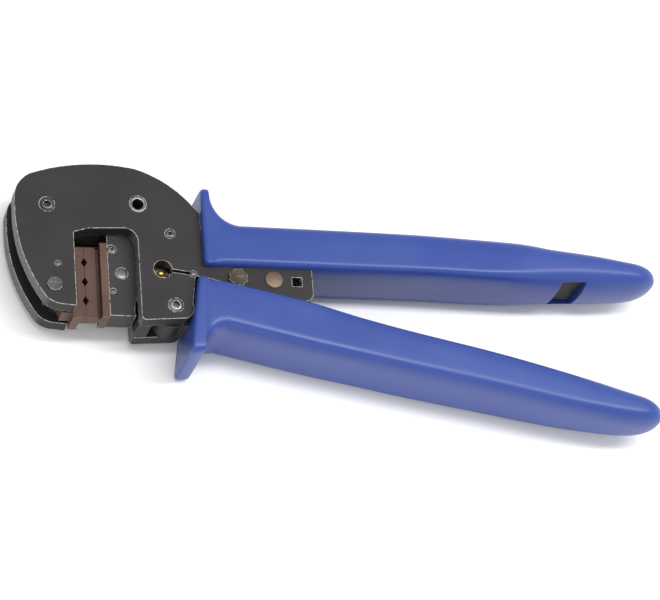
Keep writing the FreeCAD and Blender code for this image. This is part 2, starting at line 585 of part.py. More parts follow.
def lower_grip():
    """Moving grip: leaning finger guard, fillet and long rounded body around the lever."""
    tip = LOWER_GUARD_TIP
    profile = slab(outline((6.9, 8.9), (3.7, tip + 1.2), ((3.9, tip + 0.3), (4.7, tip)), (6.0, tip),
                           ((6.7, tip + 0.3), LOWER_GUARD_ROOT), (8.9, 8.9)), -GUARD_HALF, GUARD_HALF)
    frame = Part.Face(rounded_section(0.0, tip, 8.9, GUARD_HALF, GUARD_ROUND)).extrude(V(20, 0, 0))
    guard = profile.common(frame)
    grip = grip_body(LOWER_GRIP).fuse([flared(LOWER_GRIP[0], *LOWER_GUARD_ROOT, False), guard])
    plates = strap((0, 0), on_lever(LEVER_LENGTH), *TAIL_R, -LEVER_OUT, LEVER_OUT)
    slot = pie(TOOTH_TIP_R + 0.6, LEVER_ANGLE, SECTOR_END + 12, -LEVER_IN, LEVER_IN)
    return cut_all(grip, [plates, slot, rod((0, 0), HUB_R, -LEVER_OUT, LEVER_OUT)])


# ---------------------------------------------------------------- the whole tool
def build():
    """All nodes of the tool, in the working frame."""
    fasteners = head_fasteners()
    bars = tang()
    pins = [rod(CHEEK_BOLT, CHEEK_BOLT_R, -HIGH, HIGH), rod(LOCATOR, LOCATOR_R, -HIGH, HIGH),
            rod(SPACER_SCREW, SPACER_SCREW_R, -HIGH, HIGH), rod((0, 0), PIVOT_R, -HIGH, HIGH),
            fasteners["fixed_die_screw"], fasteners["fixed_die_dowel"], fasteners["spring_anchor_pin"],
            rod(PAWL, PAWL_PIN_R, -HIGH, HIGH), bars["tang_rivets"]]
    die = fixed_die()
    nodes = {}
    nodes.update(cheek_plates(pins))
    nodes.update(head_blocks(pins, die))
    nodes.update(fasteners)
    nodes["fixed_die"] = die
    nodes.update(bars)
    nodes["upper_grip"] = upper_grip()
    nodes["return_spring"] = return_spring()
    nodes.update(pawl_assembly())
    nodes["adjusting_wheel"] = adjusting_wheel()
    nodes.update(lever_assembly())
    nodes["lower_grip"] = lower_grip()
    nodes["toggle_link"] = toggle_link()
    nodes.update(slide_assembly())
    return nodes


def main():
    """Build every node, move the origin to the middle of the bottom, and write the files."""
    nodes = build()
    box = Part.makeCompound(list(nodes.values())).optimalBoundingBox(True, False)
    shift = V(-(box.XMin + box.XMax) / 2, -(box.YMin + box.YMax) / 2, -box.ZMin)
    os.makedirs("parts", exist_ok=True)
    for name, shape in nodes.items():
        shape = shape.copy()
        shape.translate(shift)
        shape.exportStep("parts/" + name + ".step")
        print(name, "solids", len(shape.Solids), "volume", round(shape.Volume, 1), "valid", shape.isValid())
    print("size", round(box.XLength, 3), round(box.YLength, 3), round(box.ZLength, 3))
    print("shift", round(shift.x, 4), round(shift.y, 4), round(shift.z, 4))
    print("slide travel", round(slide_travel(), 4), "nodes", len(nodes))


main()
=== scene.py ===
"""Looks of the ratchet crimping pliers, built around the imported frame.

The CAD nodes stay where they are and get better finishes.  Pieces whose surface has to be smoother
or finer than the CAD gives (grips, springs, turned fasteners, and plates with eased edges) are made
here and stand for their nodes.  Lengths are in metres; the MM constant turns millimetres into
metres.
"""
from __future__ import annotations

import json
import logging
import math
from dataclasses import astuple, dataclass, field
from enum import Enum
from typing import Sequence

import bpy
import bmesh
import numpy as np
from mathutils import Matrix, Vector

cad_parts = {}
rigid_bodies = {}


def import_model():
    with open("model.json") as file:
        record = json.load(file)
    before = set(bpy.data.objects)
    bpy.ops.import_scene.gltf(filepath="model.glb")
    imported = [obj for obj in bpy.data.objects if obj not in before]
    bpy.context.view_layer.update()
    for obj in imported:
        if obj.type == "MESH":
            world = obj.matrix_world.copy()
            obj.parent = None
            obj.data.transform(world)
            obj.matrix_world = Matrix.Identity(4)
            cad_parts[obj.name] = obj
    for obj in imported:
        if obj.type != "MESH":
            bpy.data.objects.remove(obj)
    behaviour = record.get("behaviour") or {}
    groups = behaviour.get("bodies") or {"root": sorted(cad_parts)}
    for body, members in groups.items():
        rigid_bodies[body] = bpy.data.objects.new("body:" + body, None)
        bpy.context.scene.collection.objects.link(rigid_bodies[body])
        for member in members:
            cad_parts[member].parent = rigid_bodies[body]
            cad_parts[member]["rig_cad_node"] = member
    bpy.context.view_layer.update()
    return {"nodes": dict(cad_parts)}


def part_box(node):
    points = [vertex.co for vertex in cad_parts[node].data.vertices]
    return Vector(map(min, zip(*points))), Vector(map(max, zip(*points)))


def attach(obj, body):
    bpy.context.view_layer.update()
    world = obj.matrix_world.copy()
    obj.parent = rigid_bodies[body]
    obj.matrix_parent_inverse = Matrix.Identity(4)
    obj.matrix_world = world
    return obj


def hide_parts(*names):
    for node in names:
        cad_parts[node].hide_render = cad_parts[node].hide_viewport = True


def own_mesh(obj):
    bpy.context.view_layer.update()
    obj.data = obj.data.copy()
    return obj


MM = 0.001
POCKET_CORNER = 0.001 * MM
WIRE_GUIDE = (0.21, 0.35, 0.91)
LOG = logging.getLogger("crimping_pliers")


class Side(Enum):
    """Which of the two handles a grip belongs to."""

    FIXED = "upper_grip"
    MOVING = "lower_grip"


# ---------------------------------------------------------------- mesh helpers
def make_object(name: str, vertices: np.ndarray,
                faces: Sequence[Sequence[int]]) -> bpy.types.Object:
    """Make a mesh object from an array of points and a list of faces.

    Args:
        name: the object's name.
        vertices: points, shape (n, 3), in metres.
        faces: vertex numbers of each face.

    Returns:
        The new object, linked to the scene, at the origin.
    """
    mesh = bpy.data.meshes.new(name)
    mesh.from_pydata(np.asarray(vertices, float).tolist(), [], [list(f) for f in faces])
    mesh.update()
    obj = bpy.data.objects.new(name, mesh)
    bpy.context.scene.collection.objects.link(obj)
    return obj


def grid_faces(rows: int, columns: int) -> np.ndarray:
    """Quads of a grid whose columns close on themselves.

    A quad joins (i, j), (i, j+1), (i+1, j+1) and (i+1, j), with j taken round the ring.

    Args:
        rows: number of rings.
        columns: number of points in each ring.

    Returns:
        Vertex numbers, shape ((rows - 1) * columns, 4).
    """
    i, j = np.meshgrid(np.arange(rows - 1), np.arange(columns), indexing="ij")
    k = (j + 1) % columns
    quads = np.stack([i * columns + j, i * columns + k,
                      (i + 1) * columns + k, (i + 1) * columns + j], -1)
    return quads.reshape(-1, 4)


def ring_solid(name: str, rings: np.ndarray) -> bpy.types.Object:
    """Close a stack of rings into a solid, with a fan to a middle point at each end.

    Args:
        name: the object's name.
        rings: points, shape (rows, columns, 3).

    Returns:
        The closed mesh, its faces pointing outwards.
    """
    rows, columns, _ = rings.shape
    first, last = rings[0].mean(0), rings[-1].mean(0)
    points = np.vstack([rings.reshape(-1, 3), first, last])
    ring = np.arange(columns)
    after = (ring + 1) % columns
    start = np.column_stack([np.full(columns, rows * columns), after, ring])
    base = (rows - 1) * columns
    end = np.column_stack([np.full(columns, rows * columns + 1), base + ring, base + after])
    faces = grid_faces(rows, columns).tolist() + start.tolist() + end.tolist()
    obj = make_object(name, points, faces)
    outward(obj)
    return obj


def outward(obj: bpy.types.Object) -> None:
    """Turn a closed mesh's faces outwards.

    Args:
        obj: the mesh object to change.
    """
    work = bmesh.new()
    work.from_mesh(obj.data)
    bmesh.ops.recalc_face_normals(work, faces=work.faces)
    work.to_mesh(obj.data)
    work.free()


def shade(obj: bpy.types.Object, degrees: float) -> None:
    """Smooth shading that keeps edges sharper than an angle.

    Args:
        obj: the mesh object.
        degrees: faces that meet at more than this stay sharp.
    """
    mesh = obj.data
    mesh.polygons.foreach_set("use_smooth", np.ones(len(mesh.polygons), bool))
    work = bmesh.new()
    work.from_mesh(mesh)
    limit = math.radians(degrees)
    for edge in work.edges:
        edge.smooth = len(edge.link_faces) == 2 and edge.calc_face_angle(0.0) < limit
    work.to_mesh(mesh)
    work.free()


def apply_modifiers(obj: bpy.types.Object) -> None:
    """Replace a mesh by what its modifiers make of it, and clear them.

    Args:
        obj: the mesh object.
    """
    graph = bpy.context.evaluated_depsgraph_get()
    made = bpy.data.meshes.new_from_object(obj.evaluated_get(graph))
    old = obj.data
    obj.modifiers.clear()
    obj.data = made
    bpy.data.meshes.remove(old)


def cut(obj: bpy.types.Object, tools: Sequence[bpy.types.Object]) -> None:
    """Cut closed shapes out of a closed mesh and delete them.

    Args:
        obj: the mesh that is cut.
        tools: the closed shapes to take away.
    """
    for tool in tools:
        boolean = obj.modifiers.new("cut", "BOOLEAN")
        boolean.operation = "DIFFERENCE"
        boolean.solver = "EXACT"
        boolean.object = tool
    bpy.context.view_layer.update()
    apply_modifiers(obj)
    for tool in tools:
        bpy.data.objects.remove(tool)


def smooth_between(x: np.ndarray, xs: np.ndarray, ys: np.ndarray) -> np.ndarray:
    """Smooth curve through points that never overshoots them.

    Each stretch is a cubic whose end slopes are the harmonic mean of the slopes beside each point.

    Args:
        x: where the curve is wanted.
        xs: known places, rising.
        ys: known values.

    Returns:
        The curve's values at x.
    """
    step = np.diff(xs)
    rise = np.diff(ys) / step
    slope = np.zeros_like(ys)
    same = rise[:-1] * rise[1:] > 0
    slope[1:-1][same] = 2 * rise[:-1][same] * rise[1:][same] / (rise[:-1] + rise[1:])[same]
    slope[0], slope[-1] = rise[0], rise[-1]
    k = np.clip(np.searchsorted(xs, x) - 1, 0, len(step) - 1)
    t = (x - xs[k]) / step[k]
    h00, h10 = 2 * t**3 - 3 * t**2 + 1, t**3 - 2 * t**2 + t
    h01, h11 = -2 * t**3 + 3 * t**2, t**3 - t**2
    return h00 * ys[k] + h10 * step[k] * slope[k] + h01 * ys[k + 1] + h11 * step[k] * slope[k + 1]


def box_solid(name: str, low: Sequence[float], high: Sequence[float]) -> bpy.types.Object:
    """Closed box along the axes, its edges along Z broken by very small quarter circles.

    Args:
        name: the object's name.
        low: lowest corner.
        high: highest corner.

    Returns:
        The box as a closed mesh.
    """
    radius = POCKET_CORNER
    turn = np.linspace(0, math.pi / 2, 6)
    centres = [(high[0] - radius, high[1] - radius), (low[0] + radius, high[1] - radius),
               (low[0] + radius, low[1] + radius), (high[0] - radius, low[1] + radius)]
    flat = np.vstack([np.column_stack([cx + radius * np.cos(turn + k * math.pi / 2),
                                       cy + radius * np.sin(turn + k * math.pi / 2)])
                      for k, (cx, cy) in enumerate(centres)])
    rings = np.stack([np.column_stack([flat, np.full(len(flat), z)]) for z in (low[2], high[2])])
    return ring_solid(name, rings)


def tube_along(name: str, path: np.ndarray, radius: float, sides: int) -> bpy.types.Object:
    """Round wire along a path.

    At each point the ring stands square to the path: its two directions are the path's tangent
    crossed with a fixed direction, and the tangent crossed with that.

    Args:
        name: the object's name.
        path: points of the wire's middle line, shape (n, 3).
        radius: the wire's radius.
        sides: points in each ring.

    Returns:
        The closed wire.
    """
    tangent = np.gradient(path, axis=0)
    tangent /= np.linalg.norm(tangent, axis=1)[:, None]
    across = np.cross(tangent, WIRE_GUIDE)
    across /= np.linalg.norm(across, axis=1)[:, None]
    up = np.cross(across, tangent)
    turn = np.linspace(0, 2 * math.pi, sides, endpoint=False)
    cosine, sine = np.cos(turn)[None, :, None], np.sin(turn)[None, :, None]
    ring = across[:, None] * cosine + up[:, None] * sine
    return ring_solid(name, path[:, None] + radius * ring)


def turned(name: str, centre: Sequence[float], radii: np.ndarray,
           heights: np.ndarray) -> bpy.types.Object:
    """Solid about an axis along Z, from a table of radii.

    A ring's points are centre + radius * (cos t, sin t), with t going once round.

    Args:
        name: the object's name.
        centre: x and y of the axis.
        radii: the radius of every ring at every angle, shape (rows, sides).
        heights: each ring's z, from the bottom to the top.

    Returns:
        The closed solid.
    """
    turn = np.linspace(0, 2 * math.pi, radii.shape[1], endpoint=False)
    level = np.broadcast_to(heights[:, None], radii.shape)
    x, y = centre[0] + radii * np.cos(turn), centre[1] + radii * np.sin(turn)
    return ring_solid(name, np.stack([x, y, level], -1))


# ---------------------------------------------------------------- shader groups
BEVEL_SAMPLES = 6
# Ranges of the edge mask: the bright edges stand for wear and also paint in highlights along the
# chamfers.
WEAR_AND_GLINT_BEND = (0.008, 0.07)
WEAR_AND_GLINT_GRAIN = (0.3, 0.55)
FINER_GRAIN = 3.1
FINER_SHARE = 0.4
BLOTCH_RANGE = (0.3, 0.7)
# Painted highlight on faces that look towards the jaws: how far they must face -X, the speckle
# range and the speckle scale.
SHEEN_FACING = (0.45, 0.95)
SHEEN_SPECKLE = (0.4, 0.7, 0.35)
SHEEN_SPECKLE_SCALE = 1500.0


def new_group(name: str, inputs: dict[str, float], outputs: dict[str, str]) -> bpy.types.NodeTree:
    """Make an empty shader node group.

    Args:
        name: the group's name.
        inputs: name and default of each float input.
        outputs: name and socket type of each output.

    Returns:
        The node group.
    """
    group = bpy.data.node_groups.new(name, "ShaderNodeTree")
    for key, value in inputs.items():
        socket = group.interface.new_socket(key, in_out="INPUT", socket_type="NodeSocketFloat")
        socket.default_value = value
    for key, kind in outputs.items():
        group.interface.new_socket(key, in_out="OUTPUT", socket_type=kind)
    return group


@dataclass(frozen=True)
class Wire:
    """Short ways to add and join nodes in one tree."""

    tree: bpy.types.NodeTree

    def add(self, kind: str, **settings: object) -> bpy.types.Node:
        """Add a node and set its properties.

        Args:
            kind: node type without the ShaderNode prefix, or NodeGroupInput and NodeGroupOutput.
            settings: node properties by name.

        Returns:
            The node.
        """
        node = self.tree.nodes.new(kind if kind.startswith("NodeGroup") else "ShaderNode" + kind)
        for key, value in settings.items():
            setattr(node, key, value)
        return node

    def join(self, source: bpy.types.NodeSocket, target: bpy.types.NodeSocket) -> None:
        """Link an output socket to an input socket."""
        self.tree.links.new(source, target)

    def coordinates(self) -> bpy.types.NodeSocket:
        """The piece's own coordinates in metres."""
        return self.add("TexCoord").outputs["Object"]

    def math(self, operation: str, a: object, b: object,
             clamp: bool = False) -> bpy.types.NodeSocket:
        """A Math node on two sockets or numbers.

        Args:
            operation: the Math node's operation.
            a: first socket or number.
            b: second socket or number.
            clamp: keep the result between 0 and 1.

        Returns:
            The result socket.
        """
        node = self.add("Math", operation=operation, use_clamp=clamp)
        for value, socket in ((a, node.inputs[0]), (b, node.inputs[1])):
            if isinstance(value, bpy.types.NodeSocket):
                self.join(value, socket)
            else:
                socket.default_value = value
        return node.outputs[0]

    def remap(self, value: bpy.types.NodeSocket, low: float, high: float,
              to_low: float = 0.0, to_high: float = 1.0) -> bpy.types.NodeSocket:
        """Map a range of values onto another, clamped, with smooth ends.

        Args:
            value: the socket to read.
            low: value that gives to_low.
            high: value that gives to_high.
            to_low: result at low.
            to_high: result at high.

        Returns:
            The result socket.
        """
        node = self.add("MapRange", interpolation_type="SMOOTHSTEP")
        self.join(value, node.inputs["Value"])
        limits = {"From Min": low, "From Max": high, "To Min": to_low, "To Max": to_high}
        for key, number in limits.items():
            node.inputs[key].default_value = number
        return node.outputs["Result"]

    def mix(self, factor: bpy.types.NodeSocket, a: object, b: object) -> bpy.types.NodeSocket:
        """Blend two colours.

        Args:
            factor: 0 gives a, 1 gives b.
            a: colour socket or (r, g, b).
            b: colour socket or (r, g, b).

        Returns:
            The blended colour's socket.
        """
        node = self.add("Mix", data_type="RGBA")
        self.join(factor, node.inputs["Factor"])
        for value, socket in ((a, node.inputs[6]), (b, node.inputs[7])):
            if isinstance(value, bpy.types.NodeSocket):
                self.join(value, socket)
            else:
                socket.default_value = (*value, 1.0)
        return node.outputs[2]

    def noise(self, vector: bpy.types.NodeSocket, scale: object, detail: float,
              roughness: float = 0.5) -> bpy.types.NodeSocket:
        """Noise on a vector.

        Args:
            vector: coordinates in metres.
            scale: features per metre, a number or a socket.
            detail: octaves.
            roughness: strength of the fine octaves.

        Returns:
            The noise value's socket.
        """
        node = self.add("TexNoise")
        self.join(vector, node.inputs["Vector"])
        if isinstance(scale, bpy.types.NodeSocket):
            self.join(scale, node.inputs["Scale"])
        else:
            node.inputs["Scale"].default_value = scale
        node.inputs["Detail"].default_value = detail
        node.inputs["Roughness"].default_value = roughness
        return node.outputs["Fac"]


def edge_group() -> bpy.types.NodeTree:
    """Group that finds convex edges: the surface normal against one averaged over a small radius.

    Returns:
        A group with inputs Radius, Breakup and Amount, and outputs Mask and Normal.
    """
    group = new_group("edge_finder", {"Radius": 0.4 * MM, "Breakup": 900.0, "Amount": 1.0},
                      {"Mask": "NodeSocketFloat", "Normal": "NodeSocketVector"})
    wire = Wire(group)
    inputs, outputs = wire.add("NodeGroupInput"), wire.add("NodeGroupOutput")
    bevel = wire.add("Bevel", samples=BEVEL_SAMPLES)
    wire.join(inputs.outputs["Radius"], bevel.inputs["Radius"])
    dot = wire.add("VectorMath", operation="DOT_PRODUCT")
    wire.join(bevel.outputs[0], dot.inputs[0])
    wire.join(wire.add("NewGeometry").outputs["Normal"], dot.inputs[1])
    bend = wire.math("SUBTRACT", 1.0, dot.outputs["Value"])
    grain = wire.noise(wire.coordinates(), inputs.outputs["Breakup"], 4.0)
    # Convex edges brightened: partly worn metal, partly a painted highlight along the chamfers.
    wear_and_glint = wire.math("MULTIPLY", wire.remap(bend, *WEAR_AND_GLINT_BEND), wire.remap(grain, *WEAR_AND_GLINT_GRAIN))
    mask = wire.math("MULTIPLY", wear_and_glint, inputs.outputs["Amount"], clamp=True)
    wire.join(mask, outputs.inputs["Mask"])
    wire.join(bevel.outputs[0], outputs.inputs["Normal"])
    return group


def grain_group() -> bpy.types.NodeTree:
    """Group for fine surface grain, as spark erosion or blasting leaves it.

    Two noises are added: the first at Scale, the second about three times as fine.

    Returns:
        A group with inputs Scale and Coarse, and outputs Height and Blotch.
    """
    group = new_group("surface_grain", {"Scale": 2500.0, "Coarse": 60.0},
                      {"Height": "NodeSocketFloat", "Blotch": "NodeSocketFloat"})
    wire = Wire(group)
    inputs, outputs = wire.add("NodeGroupInput"), wire.add("NodeGroupOutput")
    coordinates = wire.coordinates()
    scale = inputs.outputs["Scale"]
    fine = wire.noise(coordinates, scale, 2.0)
    finer = wire.noise(coordinates, wire.math("MULTIPLY", scale, FINER_GRAIN), 2.0)
    blotch = wire.noise(coordinates, inputs.outputs["Coarse"], 5.0)
    height = wire.math("ADD", fine, wire.math("MULTIPLY", finer, FINER_SHARE))
    wire.join(height, outputs.inputs["Height"])
    wire.join(wire.remap(blotch, *BLOTCH_RANGE), outputs.inputs["Blotch"])
    return group


def brushed_group() -> bpy.types.NodeTree:
    """Group for grinding lines: noise squeezed along one axis, so that it draws out into streaks.

    Returns:
        A group with inputs Along and Across (features per metre), and output Lines.
    """
    group = new_group("grinding_lines", {"Along": 60.0, "Across": 5000.0},
                      {"Lines": "NodeSocketFloat"})
    wire = Wire(group)
    inputs, outputs = wire.add("NodeGroupInput"), wire.add("NodeGroupOutput")
    apart = wire.add("SeparateXYZ")
    wire.join(wire.coordinates(), apart.inputs[0])
    together = wire.add("CombineXYZ")
    for axis, scale in (("X", "Along"), ("Y", "Across"), ("Z", "Across")):
        squeezed = wire.math("MULTIPLY", apart.outputs[axis], inputs.outputs[scale])
        wire.join(squeezed, together.inputs[axis])
    wire.join(wire.noise(together.outputs[0], 1.0, 3.0), outputs.inputs["Lines"])
    return group


def side_sheen_group() -> bpy.types.NodeTree:
    """Group for a painted highlight on side faces: light speckles where the surface looks towards
    the jaws, standing in for light reflected onto them.

    Returns:
        A group with input Amount, and output Mask.
    """
    group = new_group("painted_side_sheen", {"Amount": 0.3}, {"Mask": "NodeSocketFloat"})
    wire = Wire(group)
    inputs, outputs = wire.add("NodeGroupInput"), wire.add("NodeGroupOutput")
    apart = wire.add("SeparateXYZ")
    wire.join(wire.add("NewGeometry").outputs["Normal"], apart.inputs[0])
    facing = wire.remap(wire.math("MULTIPLY", apart.outputs["X"], -1.0), *SHEEN_FACING)
    noise = wire.noise(wire.coordinates(), SHEEN_SPECKLE_SCALE, 4.0, 0.7)
    sheen = wire.math("MULTIPLY", facing, wire.remap(noise, *SHEEN_SPECKLE))
    mask = wire.math("MULTIPLY", sheen, inputs.outputs["Amount"], clamp=True)
    wire.join(mask, outputs.inputs["Mask"])
    return group


@dataclass
class Workshop:
    """The shared shader groups, made once."""

    side_sheen: bpy.types.NodeTree = field(default_factory=side_sheen_group)
    edges: bpy.types.NodeTree = field(default_factory=edge_group)
    grain: bpy.types.NodeTree = field(default_factory=grain_group)
    lines: bpy.types.NodeTree = field(default_factory=brushed_group)


# ---------------------------------------------------------------- finishes
@dataclass(frozen=True)
class Finish:
    """What every finish has: a name and a record slot, and a material made from nodes."""

    name: str
    slot: str

    def start(self) -> tuple[bpy.types.Material, Wire, bpy.types.Node]:
        """Make the material with its surface shader.

        Returns:
            The material, the wiring helper and the Principled shader.
        """
        material = bpy.data.materials.new(self.name)
        material.use_nodes = True
        wire = Wire(material.node_tree)
        return material, wire, material.node_tree.nodes["Principled BSDF"]

    def place(self, wire: Wire, group: bpy.types.NodeTree, **values: float) -> bpy.types.Node:
        """Put a shared group into the material with its own values.

        Args:
            wire: the material's wiring helper.
            group: the shared group.
            values: input values by name.

        Returns:
            The group node.
        """
        node = wire.add("Group")
        node.node_tree = group
        for key, value in values.items():
            node.inputs[key].default_value = value
        return node

    def bump(self, wire: Wire, shader: bpy.types.Node, height: bpy.types.NodeSocket,
             distance: float, strength: float, normal: bpy.types.NodeSocket) -> None:
        """Feed a height into the shader's normal.

        Args:
            wire: the material's wiring helper.
            shader: the Principled shader.
            height: the height's socket.
            distance: depth of the relief in metres.
            strength: how much of it shows.
            normal: the normal to start from, rounded at the edges.
        """
        node = wire.add("Bump")
        node.inputs["Distance"].default_value = distance
        node.inputs["Strength"].default_value = strength
        wire.join(height, node.inputs["Height"])
        wire.join(normal, node.inputs["Normal"])
        wire.join(node.outputs[0], shader.inputs["Normal"])


@dataclass(frozen=True)
class Metal(Finish):
    """Ground or burnished metal: two tones, grain, grinding lines, and bright edges that are partly
    worn metal and partly a painted highlight; some finishes also get a painted highlight on faces
    that look towards the jaws.
    """

    dark: tuple[float, float, float]
    light: tuple[float, float, float]
    wear_and_glint: tuple[float, float, float]
    metallic: float = 1.0
    roughness: float = 0.4
    spread: float = 0.12
    edge_radius: float = 0.35 * MM
    wear_and_glint_amount: float = 0.6
    grain_scale: float = 2600.0
    line_share: float = 0.5
    relief: float = 0.012 * MM
    side_sheen: float = 0.0
    gloss: float = 0.5
    blotch_scale: float = 55.0
    texture_range: tuple[float, float] = (0.3, 0.8)
    polish: float = 0.12
    strength: float = 0.6

    def build(self, shop: Workshop) -> bpy.types.Material:
        """Make the material.

        Args:
            shop: the shared groups.

        Returns:
            The material.
        """
        material, wire, shader = self.start()
        edges = self.place(wire, shop.edges, Radius=self.edge_radius, Amount=self.wear_and_glint_amount)
        grain = self.place(wire, shop.grain, Scale=self.grain_scale, Coarse=self.blotch_scale)
        lines = self.place(wire, shop.lines)
        tone = wire.mix(grain.outputs["Blotch"], self.dark, self.light)
        # Painted highlight: faces that look towards the jaws get light speckles mixed into their
        # colour.
        if self.side_sheen:
            facing = self.place(wire, shop.side_sheen, Amount=self.side_sheen)
            tone = wire.mix(facing.outputs["Mask"], tone, self.wear_and_glint)
        # Edges lightened towards the bright tone: partly worn metal, partly a painted highlight.
        colour = wire.mix(edges.outputs["Mask"], tone, self.wear_and_glint)
        wire.join(colour, shader.inputs["Base Color"])
        shader.inputs["Metallic"].default_value = self.metallic
        shader.inputs["Specular IOR Level"].default_value = self.gloss
        streak = wire.math("MULTIPLY", lines.outputs["Lines"], self.line_share)
        fine = wire.math("MULTIPLY", grain.outputs["Height"], 1 - self.line_share)
        texture = wire.math("ADD", fine, streak)
        rough = wire.remap(texture, *self.texture_range,
                           self.roughness - self.spread, self.roughness + self.spread)
        polished = wire.math("MULTIPLY", edges.outputs["Mask"], self.polish)
        wire.join(wire.math("SUBTRACT", rough, polished, clamp=True), shader.inputs["Roughness"])
        self.bump(wire, shader, texture, self.relief, self.strength, edges.outputs["Normal"])
        return material


@dataclass(frozen=True)
class Moulded(Finish):
    """Satin moulded plastic: fine spark-eroded grain, soft blotches, slightly polished edges, and
    edges paled as a painted highlight.
    """

    base: tuple[float, float, float]
    pale: tuple[float, float, float]
    roughness: float = 0.33
    gloss: float = 0.38
    grain_scale: float = 3300.0
    relief: float = 0.03 * MM
    edge_radius: float = 0.6 * MM
    edge_amount: float = 0.5
    edge_breakup: float = 500.0
    edge_sheen_share: float = 0.5
    blotch_scale: float = 28.0
    blotch_share: float = 0.35
    smoother: float = 0.04
    rougher: float = 0.05
    polish: float = 0.15
    strength: float = 0.25
    ior: float = 1.49

    def build(self, shop: Workshop) -> bpy.types.Material:
        """Make the material.

        Args:
            shop: the shared groups.

        Returns:
            The material.
        """
        material, wire, shader = self.start()
        edges = self.place(wire, shop.edges, Radius=self.edge_radius, Amount=self.edge_amount,
                           Breakup=self.edge_breakup)
        grain = self.place(wire, shop.grain, Scale=self.grain_scale, Coarse=self.blotch_scale)
        blotch, mask = grain.outputs["Blotch"], edges.outputs["Mask"]
        tone = wire.mix(wire.math("MULTIPLY", blotch, self.blotch_share), self.base, self.pale)
        # Painted highlight: the edges are mixed towards the pale blue.
        colour = wire.mix(wire.math("MULTIPLY", mask, self.edge_sheen_share), tone, self.pale)
        wire.join(colour, shader.inputs["Base Color"])
        rough = wire.remap(blotch, 0.0, 1.0,
                           self.roughness - self.smoother, self.roughness + self.rougher)
        polished = wire.math("MULTIPLY", mask, self.polish)
        wire.join(wire.math("SUBTRACT", rough, polished, clamp=True), shader.inputs["Roughness"])
        shader.inputs["IOR"].default_value = self.ior
        shader.inputs["Specular IOR Level"].default_value = self.gloss
        self.bump(wire, shader, grain.outputs["Height"], self.relief, self.strength,
                  edges.outputs["Normal"])
        return material


@dataclass(frozen=True)
class Palette:
    """Every finish of the tool."""

    # The cheeks' nose value sets a painted highlight on their faces that look towards the jaws.
    burnished: Metal = Metal("burnished_cheek_steel", "burnished_steel",
                             dark=(0.0135, 0.0115, 0.0118), light=(0.0195, 0.0165, 0.0170),
                             wear_and_glint=(0.80, 0.78, 0.78), metallic=0.08,
                             roughness=0.52, wear_and_glint_amount=1.0, line_share=0.3, side_sheen=0.2, gloss=0.33)
    ground: Metal = Metal("dark_ground_steel", "dark_ground_steel", dark=(0.016, 0.0135, 0.0135),
                          light=(0.025, 0.021, 0.021), wear_and_glint=(0.75, 0.73, 0.72), metallic=0.1,
                          roughness=0.5, wear_and_glint_amount=1.0, line_share=0.75, gloss=0.36)
    # Painted shade: a darker copy of the ground steel with dimmer edges, for the parts between and
    # under the cheeks.
    inner: Metal = Metal("shaded_inner_steel", "dark_ground_steel", dark=(0.012, 0.010, 0.010),
                         light=(0.020, 0.017, 0.016), wear_and_glint=(0.4, 0.38, 0.37), metallic=0.1,
                         roughness=0.5, wear_and_glint_amount=0.25, line_share=0.6, gloss=0.3)
    tang: Metal = Metal("oiled_tang_steel", "dark_ground_steel", dark=(0.016, 0.012, 0.010),
                        light=(0.026, 0.020, 0.016), wear_and_glint=(0.3, 0.27, 0.24), metallic=0.1,
                        roughness=0.55, gloss=0.25)
    blackened: Metal = Metal("blackened_fastener_steel", "fastener_steel",
                             dark=(0.020, 0.018, 0.018), light=(0.16, 0.155, 0.155),
                             wear_and_glint=(0.85, 0.84, 0.83), metallic=0.85,
                             roughness=0.27, edge_radius=0.16 * MM, wear_and_glint_amount=0.75, line_share=0.4)
    bright: Metal = Metal("turned_fastener_steel", "fastener_steel", dark=(0.08, 0.075, 0.07),
                          light=(0.34, 0.33, 0.32), wear_and_glint=(0.90, 0.89, 0.87), metallic=0.95,
                          roughness=0.25, edge_radius=0.15 * MM, wear_and_glint_amount=0.9, line_share=0.4)
    brass: Metal = Metal("turned_brass", "brass", dark=(0.36, 0.20, 0.07), light=(0.66, 0.44, 0.20),
                         wear_and_glint=(0.95, 0.78, 0.52), roughness=0.32, edge_radius=0.15 * MM,
                         line_share=0.4)
    aged: Metal = Metal("aged_brass", "brass", dark=(0.075, 0.050, 0.034),
                        light=(0.210, 0.150, 0.105), wear_and_glint=(0.42, 0.36, 0.26), metallic=0.5,
                        roughness=0.5, edge_radius=0.2 * MM, wear_and_glint_amount=0.6, line_share=0.6)
    star: Metal = Metal("worn_and_glinting_wheel_steel", "fastener_steel", dark=(0.022, 0.020, 0.016),
                        light=(0.12, 0.105, 0.075), wear_and_glint=(0.85, 0.76, 0.55), metallic=0.8,
                        roughness=0.28, edge_radius=0.22 * MM, wear_and_glint_amount=0.9, line_share=0.3)
    wire: Metal = Metal("spring_wire", "spring_steel", dark=(0.20, 0.19, 0.18),
                        light=(0.40, 0.39, 0.37), wear_and_glint=(0.7, 0.7, 0.68),
                        roughness=0.28, edge_radius=0.05 * MM, wear_and_glint_amount=0.1)
    die: Metal = Metal("brown_die_steel", "die_bronze", dark=(0.068, 0.032, 0.023),
                       light=(0.104, 0.053, 0.039), wear_and_glint=(0.42, 0.29, 0.24), gloss=0.35,
                       metallic=0.1, roughness=0.48, edge_radius=0.2 * MM, wear_and_glint_amount=0.6,
                       line_share=0.7)
    blue: Moulded = Moulded("blue_moulded_grip", "blue_grip", base=(0.0245, 0.053, 0.245),
                            pale=(0.038, 0.074, 0.290))


